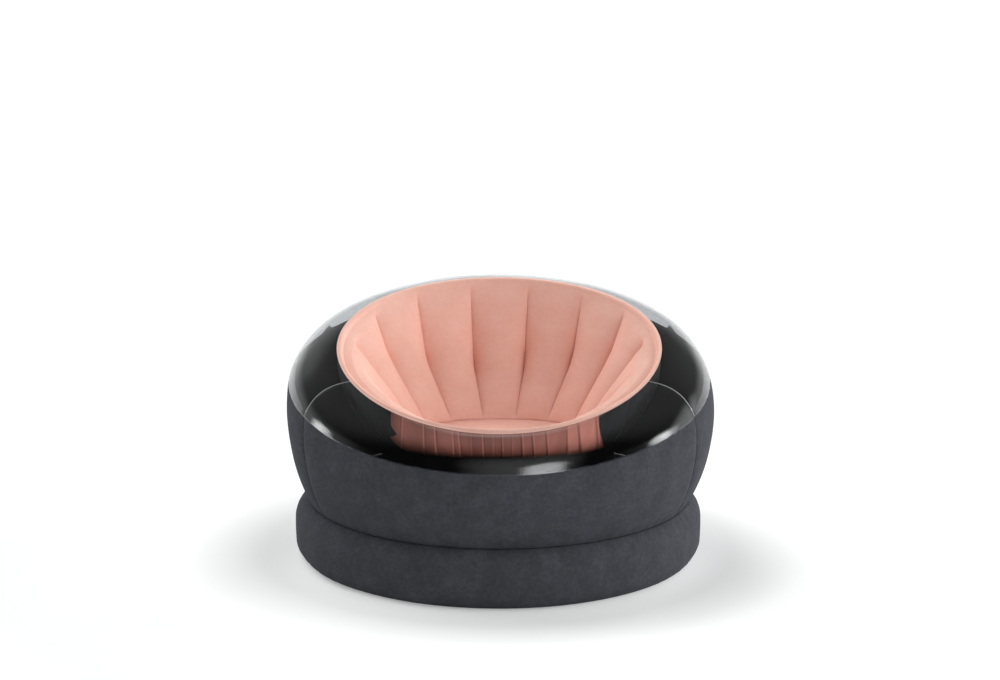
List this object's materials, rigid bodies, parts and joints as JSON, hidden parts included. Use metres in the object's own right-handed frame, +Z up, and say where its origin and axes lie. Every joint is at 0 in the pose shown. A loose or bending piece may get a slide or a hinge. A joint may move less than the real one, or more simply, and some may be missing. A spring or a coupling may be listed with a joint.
{
  "type": "inflatable chair",
  "caption": "Round inflatable tub chair: a flocked base ring and taller upper ring with a clear glossy collar round a channelled bowl seat, and a screw-in air valve with a hinged cap.",
  "frame": {"origin": "on the floor, under the middle of the chair's bounding box", "axes": "+Z up; the sitter faces -Y; +X is to the right of someone looking at the chair's front"},
  "size_m": [1.1126, 1.1045, 0.6768],
  "materials": {
    "charcoal_flock": "charcoal flocked vinyl, matt, with a short suede-like nap",
    "clear_gloss_vinyl": "clear vinyl film with a light grey cast, glossy",
    "coral_flock": "coral flocked vinyl, matt, with a short suede-like nap",
    "coral_vinyl": "plain coral vinyl sheet, satin, behind the channelled liner",
    "web_vinyl": "plain dark vinyl sheet inside the air chamber",
    "valve_vinyl": "black moulded vinyl, satin",
    "seal_rubber": "pale soft rubber"
  },
  "bodies": {
    "chair": {"floor_sheet": "charcoal_flock", "base_side_wall": "charcoal_flock", "front_wall": "charcoal_flock", "back_wall": "charcoal_flock", "collar_front": "clear_gloss_vinyl", "collar_back": "clear_gloss_vinyl", "backrest_liner": "coral_flock", "seat_sheet": "coral_flock", "bowl_outer_skin": "coral_vinyl", "waist_web": "web_vinyl", "bowl_tie_01": "web_vinyl", "bowl_tie_02": "web_vinyl", "bowl_tie_03": "web_vinyl", "bowl_tie_04": "web_vinyl", "bowl_tie_05": "web_vinyl", "bowl_tie_06": "web_vinyl", "bowl_tie_07": "web_vinyl", "bowl_tie_08": "web_vinyl", "bowl_tie_09": "web_vinyl", "bowl_tie_10": "web_vinyl", "bowl_tie_11": "web_vinyl", "bowl_tie_12": "web_vinyl", "bowl_tie_13": "web_vinyl", "bowl_tie_14": "web_vinyl", "bowl_tie_15": "web_vinyl", "bowl_tie_16": "web_vinyl", "seat_tie_1": "web_vinyl", "seat_tie_2": "web_vinyl", "seat_tie_3": "web_vinyl", "seat_tie_4": "web_vinyl", "seat_tie_5": "web_vinyl", "seat_tie_6": "web_vinyl", "seat_tie_7": "web_vinyl", "seat_tie_8": "web_vinyl", "base_tie_1": "web_vinyl", "base_tie_2": "web_vinyl", "base_tie_3": "web_vinyl", "base_tie_4": "web_vinyl", "base_tie_5": "web_vinyl", "base_tie_6": "web_vinyl", "base_tie_7": "web_vinyl", "base_tie_8": "web_vinyl", "valve_flange": "valve_vinyl"},
    "gasket": {"valve_gasket": "seal_rubber"},
    "screw_valve": {"valve_body": "valve_vinyl"},
    "cap": {"valve_cap": "valve_vinyl"},
    "flap": {"valve_flap": "seal_rubber"}
  },
  "joints": [
    {"name": "valve_lift", "type": "slide", "parent": "chair", "child": "gasket", "axis": [0, 1, 0], "range_m": [0, 0.005]},
    {"name": "valve_unscrew", "type": "hinge", "parent": "gasket", "child": "screw_valve", "pos_m": [0, 0.53904, 0.06523], "axis": [0, 1, 0], "range_deg": [0, 360]},
    {"name": "cap_swing", "type": "hinge", "parent": "screw_valve", "child": "cap", "pos_m": [0, 0.55064, 0.04772], "axis": [-1, 0, 0], "range_deg": [0, 150]},
    {"name": "flap_swing", "type": "hinge", "parent": "screw_valve", "child": "flap", "pos_m": [0, 0.54184, 0.07543], "axis": [-1, 0, 0], "range_deg": [0, 60]}
  ],
  "couplings": [
    {"joint": "valve_lift", "follows": "valve_unscrew", "m_per_rad": 0.00079577}
  ]
}
